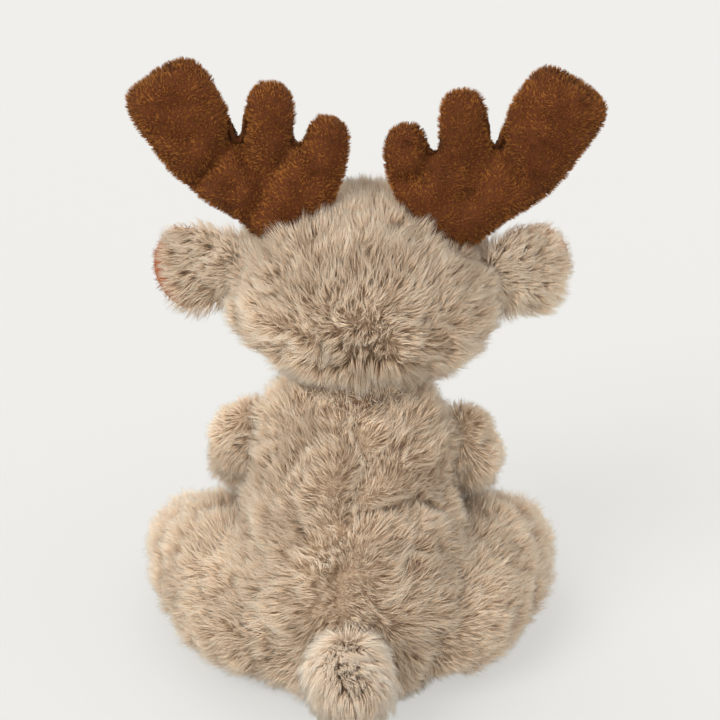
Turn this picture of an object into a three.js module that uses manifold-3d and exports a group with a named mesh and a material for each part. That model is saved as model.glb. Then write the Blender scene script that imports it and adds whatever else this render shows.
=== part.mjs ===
// A seated plush deer: sewn pile covers over stuffing, with round stuffed roots where the
// head, limbs, ears, antlers and tail bend. Millimetres, +Z up, the toy faces -Y and its
// left side is +X. The origin is the middle of the flat that the seat is pressed to.
import * as THREE from 'three'
import { mergeVertices } from 'three/addons/utils/BufferGeometryUtils.js'
import Module from 'manifold-3d'

const wasm = await Module()
wasm.setup()

// Cloth and clearances: a pile is measured from its backing to the mean of its tips
const longPile = 7
const shortPile = 2.8
const seamGap = 0.3
const swingGap = 0.6
const floorPress = 2.5
const cutOverrun = 4

// Torso
const torsoHeight = 131
const seatWidth = 108
const seatDepth = 112
const waistWidth = 90
const waistDepth = 100
const chestWidth = 85
const chestDepth = 78
const shoulderWidth = 90
const shoulderDepth = 62
const torsoForwardLean = 14
const torsoSideLean = 3.5
const beanBagWidth = 26
const beanBagDepth = 46
const beanBagHeight = 18
const beanBagLift = 4

// Neck and head
const neckRadius = 24
const neckDrop = 5
const headWidth = 107
const headHeight = 75
const headLength = 98
const headLift = 32
const headForward = 10
const napeDrop = 2
const headRollDegrees = -3

// Face
const muzzleWidth = 54
const muzzleHeight = 43
const muzzleLength = 29
const muzzleDrop = 10
const noseWidth = 22
const noseHeight = 14
const noseDepth = 12
const noseSeatShare = 0.9
const noseSinkShare = 0.2
const eyeRadius = 6
const eyeDome = 4.2
const eyeShankRadius = 1.8
const eyeShankTail = 2
const eyeWasherRadius = 6
const eyeWasherThickness = 1.4
const eyeSeatDegrees = 38
const eyeSeatShare = 0.86
const eyeCrownShares = [[1, 0], [0.8, 0.6], [0.45, 0.9], [0, 1]]

// Ears
const earLength = 37.5
const earWidth = 44
const earThickness = 13
const earRootRadius = 8
const earRootInset = 3
const liningThickness = 5
const liningRim = 1
const liningProud = 0.6
const earSeatDegrees = 12
const leftEarTiltDegrees = -9
const rightEarTiltDegrees = 9

// Antlers
const antlerSpread = 60
const antlerHeight = 66
const antlerThickness = 22
const tineThickness = 17
const antlerRootRadius = 9.5
const antlerRootInset = 3
const antlerSeatDegrees = 49
const antlerSeatShare = -0.08
const leftAntlerTurnDegrees = 0
const rightAntlerTurnDegrees = 6

// Arms
const armLength = 76
const shoulderHeight = 101
const upperArmWidth = 29
const forearmWidth = 32
const handWidth = 31
const shoulderRadius = 10.5
const shoulderInset = 4
const shoulderForwardDegrees = 14
const armReachShares = [[-0.03, 0.03, 0.06], [0.12, -0.1, -0.09], [0.1, -0.42, -0.34], [0.03, -0.8, -0.5]]

// Legs
const legLength = 104
const rumpWidth = 54
const rumpHeight = 52
const thighWidth = 58
const thighHeight = 62
const shinWidth = 50
const shinHeight = 50
const footWidth = 43
const footHeight = 45
const hipHeight = 27
const hipRadius = 16
const hipInset = 6.5
const hipForwardDegrees = 10
const legReachShares = [[-0.12, 0.42], [-0.02, 0.12], [0.08, -0.2], [0.19, -0.5], [0.27, -0.78]]

// Pads on the ends of the limbs
const padThickness = 3
const padProud = 0.6
const pawPadDepth = 6
const solePadDepth = 8

// Tail
const tailLength = 40
const tailWidth = 36
const tailRootHeight = 30
const tailRootRadius = 8
const tailRootInset = 3
const tailFullShares = [0.8, 1, 0.9]
const tailMiddleShare = 0.4
const tailPerkShare = 0.1

// How far each piece bends, in degrees from rest
const neckTurn = [-20, 20]
const headNod = [-8, 8]
const earFlop = [-20, 12]
const antlerBend = [-12, 12]
const armLift = [0, 35]
const legSplay = [-8, 15]
const tailLift = [-8, 12]

// Facets around and along each form
const torsoFacets = [16, 10]
const headFacets = [16, 10]
const innerFacets = [10, 6]
const limbFacets = [12, 8]
const limbInnerFacets = [8, 5]
const lobeFacets = [10, 8]
const lobeInnerFacets = [6, 5]
const smallFacets = [10, 7]
const ballFacets = [10, 8]
const neckFacets = [20, 12]
const eyeFacets = 10

// Colours
const beige = 0xb9a486
const paleBeige = 0xc9b598
const brown = 0x6b3f20
const rust = 0xb5613a
const white = 0xf1eee6
const pellet = 0xd8d2c4
const nearBlack = 0x1b120d

const alongX = new THREE.Vector3(1, 0, 0)
const alongY = new THREE.Vector3(0, 1, 0)
const alongZ = new THREE.Vector3(0, 0, 1)
const point = (x, y, z) => new THREE.Vector3(x, y, z)
const radians = THREE.MathUtils.degToRad

// A closed geometry as a solid that can be joined and cut
function solidOf(geometry, placement = new THREE.Matrix4()) {
  const plain = geometry.clone()
  plain.deleteAttribute('normal')
  plain.deleteAttribute('uv')
  const placed = mergeVertices(plain.applyMatrix4(placement))
  const mesh = new wasm.Mesh({
    numProp: 3,
    vertProperties: placed.attributes.position.array,
    triVerts: placed.index.array,
  })
  return new wasm.Manifold(mesh)
}

// A stuffed form: oval rings along a curved path, swelling from one closed end to the other.
// spans are [width, thickness] at each point of the path, and across is the way the width
// runs. puff is how blunt the ends are, and cheek widens the lower half of each ring.
function stuffedForm({ path, spans, across, puff, cheek = 0 }) {
  const centres = new THREE.CatmullRomCurve3(path)
  const halfSpans = new THREE.CatmullRomCurve3(spans.map(([w, t]) => point(w / 2, t / 2, 0)))

  // The skin's point at u, from -1 to 1 along the path, and at an angle around it
  function at(u, angle, grow = 0) {
    const station = (u + 1) / 2
    const heading = centres.getTangent(station)
    const wideWay = across.clone().projectOnPlane(heading).normalize()
    const thickWay = heading.clone().cross(wideWay)
    const fullness = Math.max(0, 1 - Math.abs(u) ** puff) ** (1 / puff)
    const half = halfSpans.getPoint(station)
    const wide = (half.x + grow) * fullness * Math.cos(angle) * (1 - cheek * Math.sin(angle))
    const thick = (half.y + grow) * fullness * Math.sin(angle)
    return centres.getPoint(station)
      .addScaledVector(heading, grow * u)
      .addScaledVector(wideWay, wide)
      .addScaledVector(thickWay, thick)
  }

  function geometry(grow, [around, along]) {
    const places = []
    const faces = []
    const corner = (row, column) => 1 + (row - 1) * around + (column % around)
    const last = 1 + (along - 1) * around
    places.push(...at(-1, 0, grow).toArray())
    for (let row = 1; row < along; row++) {
      const u = -Math.cos(Math.PI * row / along)
      for (let column = 0; column < around; column++) {
        places.push(...at(u, 2 * Math.PI * column / around, grow).toArray())
      }
    }
    places.push(...at(1, 0, grow).toArray())
    for (let column = 0; column < around; column++) {
      faces.push(0, corner(1, column + 1), corner(1, column))
      faces.push(last, corner(along - 1, column), corner(along - 1, column + 1))
      for (let row = 1; row < along - 1; row++) {
        faces.push(corner(row, column), corner(row, column + 1), corner(row + 1, column + 1))
        faces.push(corner(row, column), corner(row + 1, column + 1), corner(row + 1, column))
      }
    }
    const built = new THREE.BufferGeometry()
    built.setAttribute('position', new THREE.BufferAttribute(new Float32Array(places), 3))
    built.setIndex(faces)
    return built
  }

  // The outward way from the skin, from its slopes along and around the form
  function outward(u, angle) {
    const step = 0.01
    const alongSlope = at(u + step, angle).sub(at(u - step, angle))
    const aroundSlope = at(u, angle + step).sub(at(u, angle - step))
    return aroundSlope.cross(alongSlope).normalize()
  }

  const solid = (grow, facets) => solidOf(geometry(grow, facets))
  const under = (u, angle, depth) => at(u, angle).addScaledVector(outward(u, angle), -depth)
  const endHeading = () => centres.getTangent(1)
  return { at, geometry, outward, solid, under, endHeading }
}

// A round root, and the socket it turns in, whose flats stay clear of the ball's corners
function ball(centre, radius, facets = ballFacets) {
  return solidOf(new THREE.SphereGeometry(radius, ...facets), new THREE.Matrix4().setPosition(centre))
}
function socket({ centre, radius, facets = ballFacets }) {
  const [around, along] = facets
  const flatShare = Math.cos(Math.PI / around) * Math.cos(Math.PI / (2 * along))
  return ball(centre, (radius + seamGap) / flatShare, facets)
}

// A turned piece, from an outline of [radius, height] that rises from foot to top
function turned(outline, placement) {
  const profile = outline.map(([radius, height]) => new THREE.Vector2(radius, height))
  return solidOf(new THREE.LatheGeometry(profile, eyeFacets), placement)
}
function standing(foot, direction) {
  const turn = new THREE.Quaternion().setFromUnitVectors(alongY, direction)
  return new THREE.Matrix4().compose(foot, turn, point(1, 1, 1))
}

function turnAbout(centre, axis, degrees) {
  const there = new THREE.Matrix4().setPosition(centre)
  const turn = new THREE.Matrix4().makeRotationAxis(axis, radians(degrees))
  const back = new THREE.Matrix4().setPosition(centre.clone().negate())
  return there.multiply(turn).multiply(back)
}

// The bends at which a piece is cut clear of what carries it
function bends([from, to], steps) {
  return Array.from({ length: steps + 1 }, (_, step) => from + (to - from) * step / steps)
}
function clearOf(piece, carrier, { centre, axis, range, steps }) {
  let cleared = piece
  for (const degrees of bends(range, steps)) {
    cleared = cleared.subtract(solidOf(carrier, turnAbout(centre, axis, -degrees)))
  }
  return cleared
}

// The scene: one group for each body, placed at the point that it bends about
function bodyGroup(centre, parent) {
  const body = new THREE.Group()
  body.userData.place = centre.clone()
  body.position.copy(centre)
  if (parent) {
    body.position.sub(parent.userData.place)
    parent.add(body)
  }
  return body
}
function addPiece(body, name, solid, color, roughness = 0.95) {
  const mesh = solid.getMesh()
  const geometry = new THREE.BufferGeometry()
  geometry.setAttribute('position', new THREE.BufferAttribute(new Float32Array(mesh.vertProperties), 3))
  geometry.setIndex(new THREE.BufferAttribute(new Uint32Array(mesh.triVerts), 1))
  geometry.translate(...body.userData.place.clone().negate().toArray())
  geometry.computeVertexNormals()
  const material = new THREE.MeshStandardMaterial({ color, roughness, metalness: 0 })
  const piece = new THREE.Mesh(geometry, material)
  piece.name = name
  body.add(piece)
}

// Torso: a pear that leans a little forward, and to the toy's right, as it rises
const torsoHeightShares = [0, 0.25, 0.5, 0.75, 1]
const torsoLeanShares = [0, 0.02, 0.2, 0.6, 1]
const torsoForm = stuffedForm({
  path: torsoHeightShares.map((share, i) => point(
    -torsoSideLean * torsoLeanShares[i],
    -torsoForwardLean * torsoLeanShares[i],
    (torsoHeight + floorPress) * share - floorPress,
  )),
  spans: [
    [seatWidth, seatDepth],
    [seatWidth, seatDepth],
    [waistWidth, waistDepth],
    [chestWidth, chestDepth],
    [shoulderWidth, shoulderDepth],
  ],
  across: alongX,
  puff: 3,
})
const torsoSwept = torsoForm.geometry(swingGap, torsoFacets)
const torsoLevel = (height) => 2 * (height + floorPress) / (torsoHeight + floorPress) - 1

const floorSpan = 2 * (seatWidth + legLength)
const floorDepth = floorPress + cutOverrun
const belowFloor = solidOf(
  new THREE.BoxGeometry(floorSpan, floorSpan, floorDepth),
  new THREE.Matrix4().setPosition(0, 0, -floorDepth / 2),
)

// Neck: the round plug of stuffing that the head turns and nods on
const neckRoot = {
  centre: point(-torsoSideLean, -torsoForwardLean, torsoHeight - neckDrop),
  radius: neckRadius,
  facets: neckFacets,
}
const headPlace = new THREE.Matrix4().makeRotationY(radians(headRollDegrees)).setPosition(neckRoot.centre)
const inHead = (x, y, z) => point(x, y, z).applyMatrix4(headPlace)
const headSideways = alongX.clone().transformDirection(headPlace)
const headUpwards = alongZ.clone().transformDirection(headPlace)

// Head: lies from nape to face, fuller in the cheeks than at the crown
const headBack = headLength / 2 - headForward
const headForm = stuffedForm({
  path: [
    inHead(0, headBack, headLift - napeDrop),
    inHead(0, -headForward, headLift),
    inHead(0, headBack - headLength, headLift),
  ],
  spans: [
    [headWidth, headHeight],
    [headWidth, headHeight],
    [headWidth, headHeight],
  ],
  across: headSideways,
  puff: 2.4,
  cheek: 0.1,
})
const headSwept = headForm.geometry(swingGap, headFacets)
const headSide = (side, degrees) => side > 0 ? radians(degrees) : Math.PI - radians(degrees)

// The head is cut clear of the shoulders at every turn and nod together
function clearOfShoulders(piece) {
  let cleared = piece
  for (const turn of bends(neckTurn, 2)) {
    for (const nod of bends(headNod, 4)) {
      const unturn = turnAbout(neckRoot.centre, alongZ, -turn)
      const unnod = turnAbout(neckRoot.centre, alongX, nod)
      cleared = cleared.subtract(solidOf(torsoSwept, unnod.multiply(unturn)))
    }
  }
  return cleared
}

// Muzzle: a short snout, sewn against the face
const faceFront = headBack - headLength
const muzzleFrontShares = [-0.5, 0, 0.55, 1]
const muzzleForm = stuffedForm({
  path: muzzleFrontShares.map((share) => inHead(0, faceFront - muzzleLength * share, headLift - muzzleDrop)),
  spans: [
    [muzzleWidth, muzzleHeight],
    [muzzleWidth, muzzleHeight],
    [muzzleWidth, muzzleHeight],
    [muzzleWidth, muzzleHeight],
  ],
  across: headSideways,
  puff: 2.5,
})
const noseCentre = muzzleForm.under(noseSeatShare, Math.PI / 2, noseDepth * noseSinkShare)
const noseForm = stuffedForm({
  path: [
    noseCentre.clone().addScaledVector(alongY, noseDepth / 2),
    noseCentre.clone(),
    noseCentre.clone().addScaledVector(alongY, -noseDepth / 2),
  ],
  spans: [
    [noseWidth, noseHeight],
    [noseWidth, noseHeight],
    [noseWidth, noseHeight],
  ],
  across: headSideways,
  puff: 2.2,
})

// Eye: a dome on a shank that runs through the cover to its washer
function makeEye(side) {
  const angle = headSide(side, eyeSeatDegrees)
  const facing = headForm.outward(eyeSeatShare, angle)
  const place = standing(headForm.at(eyeSeatShare, angle), facing)
  const shankEnd = -longPile - eyeWasherThickness - eyeShankTail
  const washerTop = -longPile - seamGap
  const washerFoot = washerTop - eyeWasherThickness
  const eyeOutline = (grow) => [
    [0, shankEnd - grow],
    [eyeShankRadius + grow, shankEnd - grow],
    [eyeShankRadius + grow, -eyeDome / 2 - grow],
    [eyeRadius + grow, -eyeDome / 2 - grow],
    ...eyeCrownShares.map(([out, up]) => [out && eyeRadius * out + grow, eyeDome * up + grow]),
  ]
  const washerOutline = (grow) => [
    [0, washerFoot - grow],
    [eyeWasherRadius + grow, washerFoot - grow],
    [eyeWasherRadius + grow, washerTop + grow],
    [0, washerTop + grow],
  ]
  const pocket = turned(eyeOutline(seamGap), place)
  return {
    eye: turned(eyeOutline(0), place),
    washer: turned(washerOutline(0), place).subtract(pocket),
    pocket,
    washerPocket: turned(washerOutline(seamGap), place),
  }
}

// Ear: a leaf with a pile back and a short-pile front, pinched to its root
function makeEar(side, tiltDegrees) {
  const seat = headForm.under(0, headSide(side, earSeatDegrees), earRootInset)
  const root = { centre: seat, radius: earRootRadius }
  const tilt = radians(tiltDegrees)
  const reach = headSideways.clone().multiplyScalar(side * Math.cos(tilt))
    .addScaledVector(headUpwards, Math.sin(tilt))
  const reachShares = [-0.1, 0.3, 0.65, 1]
  const frontShares = [0, 0.02, 0.06, 0.16]
  const widthShares = [0.6, 0.9, 1, 0.86]
  const leaf = (shift, width, thickness) => stuffedForm({
    path: reachShares.map((share, i) => root.centre.clone()
      .addScaledVector(reach, earLength * share)
      .addScaledVector(alongY, -earLength * frontShares[i] - shift)),
    spans: widthShares.map((share) => [width * share, thickness]),
    across: headUpwards,
    puff: 2.3,
  })
  const back = leaf(0, earWidth, earThickness)
  const liningShift = (earThickness - liningThickness) / 2 + liningProud
  const front = leaf(liningShift, earWidth - 2 * liningRim, liningThickness)
  const hinge = { centre: root.centre, axis: alongY.clone().multiplyScalar(-side), range: earFlop, steps: 4 }
  const rootBall = ball(root.centre, root.radius)
  const cover = clearOf(back.solid(0, smallFacets), headSwept, hinge)
    .add(rootBall)
    .subtract(front.solid(seamGap, smallFacets))
  const lining = clearOf(front.solid(0, smallFacets), headSwept, hinge)
    .subtract(ball(root.centre, root.radius + seamGap))
  return { root, cover, lining }
}

// Antler: a palm and a broad outer blade with two round tines, sewn as one padded piece.
// Places are shares of the spread and the height from the root, widths of the spread.
const antlerLobes = [
  {
    placeShares: [[-0.07, -0.06], [0.24, 0.16], [0.53, 0.39], [0.72, 0.67], [0.89, 0.89]],
    widthShares: [0.38, 0.38, 0.5, 0.6, 0.62],
    thickness: antlerThickness,
    puff: 3.6,
  },
  {
    placeShares: [[0.03, -0.15], [0.01, 0.2], [0.03, 0.52]],
    widthShares: [0.5, 0.66, 0.62],
    thickness: antlerThickness,
    puff: 2.6,
  },
  {
    placeShares: [[0.14, 0.22], [0.15, 0.56], [0.14, 0.88]],
    widthShares: [0.38, 0.36, 0.33],
    thickness: tineThickness,
    puff: 2.8,
  },
  {
    placeShares: [[-0.12, 0.11], [-0.21, 0.4], [-0.24, 0.69]],
    widthShares: [0.33, 0.33, 0.31],
    thickness: tineThickness,
    puff: 2.8,
  },
]
function makeAntler(side, turnDegrees) {
  const seat = headForm.under(antlerSeatShare, headSide(side, antlerSeatDegrees), antlerRootInset)
  const root = { centre: seat, radius: antlerRootRadius }
  const turn = radians(turnDegrees)
  const outWay = headSideways.clone().multiplyScalar(side)
  const outTurned = outWay.clone().multiplyScalar(Math.cos(turn)).addScaledVector(headUpwards, Math.sin(turn))
  const upTurned = headUpwards.clone().multiplyScalar(Math.cos(turn)).addScaledVector(outWay, -Math.sin(turn))
  const forms = antlerLobes.map(({ placeShares, widthShares, thickness, puff }) => stuffedForm({
    path: placeShares.map(([out, up]) => root.centre.clone()
      .addScaledVector(outTurned, antlerSpread * out)
      .addScaledVector(upTurned, antlerHeight * up)),
    spans: widthShares.map((share) => [antlerSpread * share, thickness]),
    across: headSideways,
    puff,
  }))
  const joined = (grow, facets) => forms
    .map((form) => form.solid(grow, facets))
    .reduce((whole, lobe) => whole.add(lobe))
  const hinge = { centre: root.centre, axis: headSideways, range: antlerBend, steps: 4 }
  const cover = clearOf(joined(0, lobeFacets), headSwept, hinge)
    .subtract(joined(-shortPile, lobeInnerFacets))
    .subtract(ball(root.centre, root.radius + seamGap))
  const filling = clearOf(joined(-shortPile - seamGap, lobeInnerFacets), headSwept, hinge)
    .add(ball(root.centre, root.radius))
  return { root, cover, filling }
}

// A limb: a stuffed cover that opens at its root, the stuffing, whose round root sits in the
// torso, and a short-pile pad over the far end
function makeLimb({ form, root, hinge, padDepth }) {
  const padLine = form.at(1, 0).addScaledVector(form.endHeading(), -padDepth)
  const beyond = (inset) => {
    const size = 2 * (padDepth + cutOverrun + footWidth)
    const box = new THREE.BoxGeometry(size, size, size).translate(0, size / 2 - inset, 0)
    return solidOf(box, standing(padLine, form.endHeading()))
  }
  const pad = form.solid(padProud, limbFacets)
    .intersect(beyond(0))
    .subtract(form.solid(-padThickness, limbFacets))
  const padPocket = beyond(seamGap).subtract(form.solid(-padThickness - seamGap, limbFacets))
  const cover = clearOf(form.solid(0, limbFacets), torsoSwept, hinge)
    .subtract(form.solid(-longPile, limbInnerFacets))
    .subtract(ball(root.centre, root.radius + seamGap))
    .subtract(padPocket)
  const filling = clearOf(form.solid(-longPile - seamGap, limbInnerFacets), torsoSwept, hinge)
    .add(ball(root.centre, root.radius))
  return { root, cover, filling, pad }
}

// The direction on the torso's ring that faces sideways and a little forward
const torsoSide = (side, forwardDegrees) => side > 0
  ? -radians(forwardDegrees)
  : Math.PI + radians(forwardDegrees)

// Arm: hangs out and forward, with the paw resting just above the thigh
function makeArm(side) {
  const centre = torsoForm.under(torsoLevel(shoulderHeight), torsoSide(side, shoulderForwardDegrees), shoulderInset)
  const form = stuffedForm({
    path: armReachShares.map(([out, front, up]) => point(side * out, front, up)
      .multiplyScalar(armLength)
      .add(centre)),
    spans: [
      [upperArmWidth, upperArmWidth],
      [upperArmWidth, upperArmWidth],
      [forearmWidth, forearmWidth],
      [handWidth, handWidth],
    ],
    across: alongX,
    puff: 2.6,
  })
  const hinge = { centre, axis: alongX.clone().negate(), range: armLift, steps: 4 }
  return makeLimb({ form, root: { centre, radius: shoulderRadius }, hinge, padDepth: pawPadDepth })
}

// Leg: lies on the floor, forward and outward, pressed flat where it rests
function makeLeg(side) {
  const centre = torsoForm.under(torsoLevel(hipHeight), torsoSide(side, hipForwardDegrees), hipInset)
  const spans = [
    [rumpWidth, rumpHeight],
    [thighWidth, thighHeight],
    [thighWidth, thighHeight],
    [shinWidth, shinHeight],
    [footWidth, footHeight],
  ]
  const form = stuffedForm({
    path: legReachShares.map(([out, front], i) => point(
      centre.x + side * legLength * out,
      centre.y + legLength * front,
      spans[i][1] / 2 - floorPress,
    )),
    spans,
    across: alongX,
    puff: 2.6,
  })
  const hinge = { centre, axis: alongZ.clone().multiplyScalar(side), range: legSplay, steps: 4 }
  const limb = makeLimb({ form, root: { centre, radius: hipRadius }, hinge, padDepth: solePadDepth })
  return { ...limb, cover: limb.cover.subtract(belowFloor), pad: limb.pad.subtract(belowFloor) }
}

// Tail: one round tuft
function makeTail() {
  const centre = torsoForm.under(torsoLevel(tailRootHeight), Math.PI / 2, tailRootInset)
  const form = stuffedForm({
    path: [
      centre.clone().addScaledVector(alongY, -tailRootInset),
      centre.clone().addScaledVector(alongY, tailLength * tailMiddleShare),
      centre.clone().addScaledVector(alongY, tailLength).addScaledVector(alongZ, tailLength * tailPerkShare),
    ],
    spans: tailFullShares.map((share) => [tailWidth * share, tailWidth * share]),
    across: alongX,
    puff: 2.2,
  })
  const hinge = { centre, axis: alongX, range: tailLift, steps: 4 }
  const tuft = clearOf(form.solid(0, smallFacets), torsoSwept, hinge).add(ball(centre, tailRootRadius))
  return { root: { centre, radius: tailRootRadius }, tuft }
}

const sides = [['left', 1], ['right', -1]]
const arms = sides.map(([, side]) => makeArm(side))
const legs = sides.map(([, side]) => makeLeg(side))
const tail = makeTail()
const ears = [makeEar(1, leftEarTiltDegrees), makeEar(-1, rightEarTiltDegrees)]
const antlers = [makeAntler(1, leftAntlerTurnDegrees), makeAntler(-1, rightAntlerTurnDegrees)]
const eyes = sides.map(([, side]) => makeEye(side))

const cutBy = (solid, tools) => tools.reduce((left, tool) => left.subtract(tool), solid)

// Bean bag: a pouch of pellets low in the seat, in a pocket of the stuffing that opens downwards
const beanBagMiddle = longPile + beanBagLift + beanBagHeight / 2
const beanBagForm = stuffedForm({
  path: [
    point(0, beanBagDepth / 2, beanBagMiddle),
    point(0, 0, beanBagMiddle),
    point(0, -beanBagDepth / 2, beanBagMiddle),
  ],
  spans: [
    [beanBagWidth, beanBagHeight],
    [beanBagWidth, beanBagHeight],
    [beanBagWidth, beanBagHeight],
  ],
  across: alongX,
  puff: 2.6,
})
const beanBagPocket = beanBagForm.solid(seamGap, smallFacets)
  .add(solidOf(
    beanBagForm.geometry(seamGap, smallFacets),
    new THREE.Matrix4().setPosition(0, 0, -beanBagLift - beanBagHeight / 2),
  ))

const torsoSockets = [neckRoot, tail.root, ...arms.map((arm) => arm.root), ...legs.map((leg) => leg.root)].map(socket)
const torsoCover = cutBy(
  torsoForm.solid(0, torsoFacets),
  [belowFloor, torsoForm.solid(-longPile, innerFacets), ...torsoSockets],
)
const torsoFilling = cutBy(
  torsoForm.solid(-longPile - seamGap, innerFacets),
  [beanBagPocket, ...torsoSockets],
)

const headSockets = [neckRoot, ...ears.map((ear) => ear.root), ...antlers.map((antler) => antler.root)].map(socket)
const eyePockets = eyes.flatMap((eye) => [eye.pocket, eye.washerPocket])
const headCover = cutBy(
  clearOfShoulders(headForm.solid(0, headFacets)),
  [headForm.solid(-longPile, innerFacets), ...headSockets, ...eyePockets],
)
const headFilling = cutBy(
  clearOfShoulders(headForm.solid(-longPile - seamGap, innerFacets)),
  [...headSockets, ...eyePockets],
)
const faceFace = headForm.solid(seamGap, headFacets)
const nosePocket = noseForm.solid(seamGap, smallFacets)
const muzzleCover = cutBy(
  muzzleForm.solid(0, limbFacets),
  [faceFace, muzzleForm.solid(-shortPile, limbFacets), nosePocket],
)
const muzzleFilling = cutBy(
  muzzleForm.solid(-shortPile - seamGap, limbFacets),
  [faceFace, nosePocket],
)

const deer = new THREE.Group()
const torso = bodyGroup(point(0, 0, 0))
deer.add(torso)
addPiece(torso, 'torso_cover', torsoCover, beige)
addPiece(torso, 'torso_filling', torsoFilling, white)
addPiece(torso, 'bean_bag', beanBagForm.solid(0, smallFacets), pellet)

const neck = bodyGroup(neckRoot.centre, torso)
addPiece(neck, 'neck_filling', ball(neckRoot.centre, neckRoot.radius, neckRoot.facets), white)

const head = bodyGroup(neckRoot.centre, neck)
addPiece(head, 'head_cover', headCover, beige)
addPiece(head, 'head_filling', headFilling, white)
addPiece(head, 'muzzle_cover', muzzleCover, paleBeige)
addPiece(head, 'muzzle_filling', muzzleFilling, white)
addPiece(head, 'nose', noseForm.solid(0, smallFacets), brown)

const tailBody = bodyGroup(tail.root.centre, torso)
addPiece(tailBody, 'tail', tail.tuft, paleBeige)

sides.forEach(([name], i) => {
  addPiece(head, `eye_${name}`, eyes[i].eye, nearBlack, 0.15)
  addPiece(head, `eye_washer_${name}`, eyes[i].washer, white, 0.5)

  const ear = bodyGroup(ears[i].root.centre, head)
  addPiece(ear, `ear_${name}`, ears[i].cover, beige)
  addPiece(ear, `ear_lining_${name}`, ears[i].lining, rust)

  const antler = bodyGroup(antlers[i].root.centre, head)
  addPiece(antler, `antler_${name}`, antlers[i].cover, brown)
  addPiece(antler, `antler_filling_${name}`, antlers[i].filling, white)

  const arm = bodyGroup(arms[i].root.centre, torso)
  addPiece(arm, `arm_${name}`, arms[i].cover, beige)
  addPiece(arm, `arm_filling_${name}`, arms[i].filling, white)
  addPiece(arm, `paw_pad_${name}`, arms[i].pad, brown)

  const leg = bodyGroup(legs[i].root.centre, torso)
  addPiece(leg, `leg_${name}`, legs[i].cover, beige)
  addPiece(leg, `leg_filling_${name}`, legs[i].filling, white)
  addPiece(leg, `sole_${name}`, legs[i].pad, brown)
})

export default deer
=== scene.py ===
"""A seated plush deer: its cloth, pile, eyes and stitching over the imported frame.

Sizes are in millimetres until a mesh is made. +Z is up, the deer faces -Y, its left is +X.
"""
import math
from collections import namedtuple

import bmesh
import bpy
import numpy as np
from mathutils import Matrix, Vector
from mathutils.bvhtree import BVHTree
from mathutils.kdtree import KDTree


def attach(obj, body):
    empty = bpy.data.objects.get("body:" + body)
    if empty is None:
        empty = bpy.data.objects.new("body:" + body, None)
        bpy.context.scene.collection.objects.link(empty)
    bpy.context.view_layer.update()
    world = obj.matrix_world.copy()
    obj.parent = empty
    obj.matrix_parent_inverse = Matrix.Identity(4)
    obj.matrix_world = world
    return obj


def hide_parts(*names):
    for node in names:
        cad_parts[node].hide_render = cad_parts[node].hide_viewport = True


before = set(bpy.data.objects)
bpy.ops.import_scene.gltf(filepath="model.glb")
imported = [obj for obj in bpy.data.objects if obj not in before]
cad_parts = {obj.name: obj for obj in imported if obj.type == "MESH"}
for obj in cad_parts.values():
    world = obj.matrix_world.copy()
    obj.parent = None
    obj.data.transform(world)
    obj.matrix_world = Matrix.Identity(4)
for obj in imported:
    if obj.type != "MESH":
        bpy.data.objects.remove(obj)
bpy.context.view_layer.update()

MM = 0.001
ALONG_X = np.array([1.0, 0.0, 0.0])
ALONG_Y = np.array([0.0, 1.0, 0.0])
ALONG_Z = np.array([0.0, 0.0, 1.0])
SIDES = (("left", 1), ("right", -1))


def added(name, data):
    thing = bpy.data.objects.new(name, data)
    bpy.context.scene.collection.objects.link(thing)
    return thing


# Camera at the photograph's angle: behind the toy and above it
CAMERA_TILT = math.radians(24)
CAMERA_DISTANCE = 1100
CAMERA_TARGET = (-4, 0, 136)
FOCAL_PIXELS = 2820
FRAME_PIXELS = 720
SENSOR_WIDTH = 36


def make_camera():
    camera = added("camera", bpy.data.cameras.new("camera"))
    back = Vector((0, math.cos(CAMERA_TILT), math.sin(CAMERA_TILT)))
    camera.location = (Vector(CAMERA_TARGET) + back * CAMERA_DISTANCE) * MM
    camera.rotation_mode = "QUATERNION"
    camera.rotation_quaternion = (-back).to_track_quat("-Z", "Y")
    camera.data.sensor_width = SENSOR_WIDTH
    camera.data.lens = SENSOR_WIDTH * FOCAL_PIXELS / FRAME_PIXELS
    camera.data.clip_start = 0.05
    camera.data.clip_end = 20
    bpy.context.scene.camera = camera


make_camera()


# Materials
def linear(red, green, blue):
    """A colour written as 0 to 255 screen values."""
    def one(value):
        value /= 255
        return value / 12.92 if value <= 0.04045 else ((value + 0.055) / 1.055) ** 2.4
    return (one(red), one(green), one(blue), 1.0)


def new_material(name, roughness, sheen=0.0, sheen_tint=(1, 1, 1, 1), specular=0.3):
    material = bpy.data.materials.new(name)
    material.use_nodes = True
    shader = material.node_tree.nodes["Principled BSDF"]
    shader.inputs["Roughness"].default_value = roughness
    shader.inputs["Specular IOR Level"].default_value = specular
    shader.inputs["Sheen Weight"].default_value = sheen
    shader.inputs["Sheen Tint"].default_value = sheen_tint
    shader.inputs["Sheen Roughness"].default_value = 0.4
    return material, material.node_tree, shader


def ramp_of(tree, stops, source):
    """A value turned into a colour, by stops of a place from 0 to 1 and its colour."""
    ramp = tree.nodes.new("ShaderNodeValToRGB")
    elements = ramp.color_ramp.elements
    while len(elements) < len(stops):
        elements.new(0.5)
    for element, (place, colour) in zip(elements, stops):
        element.position = place
        element.color = colour
    tree.links.new(source, ramp.inputs["Fac"])
    return ramp.outputs["Color"]


def mixed(tree, factor, first, second):
    """The first colour where the factor is 0, and the second where it is 1."""
    mix = tree.nodes.new("ShaderNodeMix")
    mix.data_type = "RGBA"
    tree.links.new(factor, mix.inputs[0])
    tree.links.new(first, mix.inputs[6])
    tree.links.new(second, mix.inputs[7])
    return mix.outputs[2]


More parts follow.
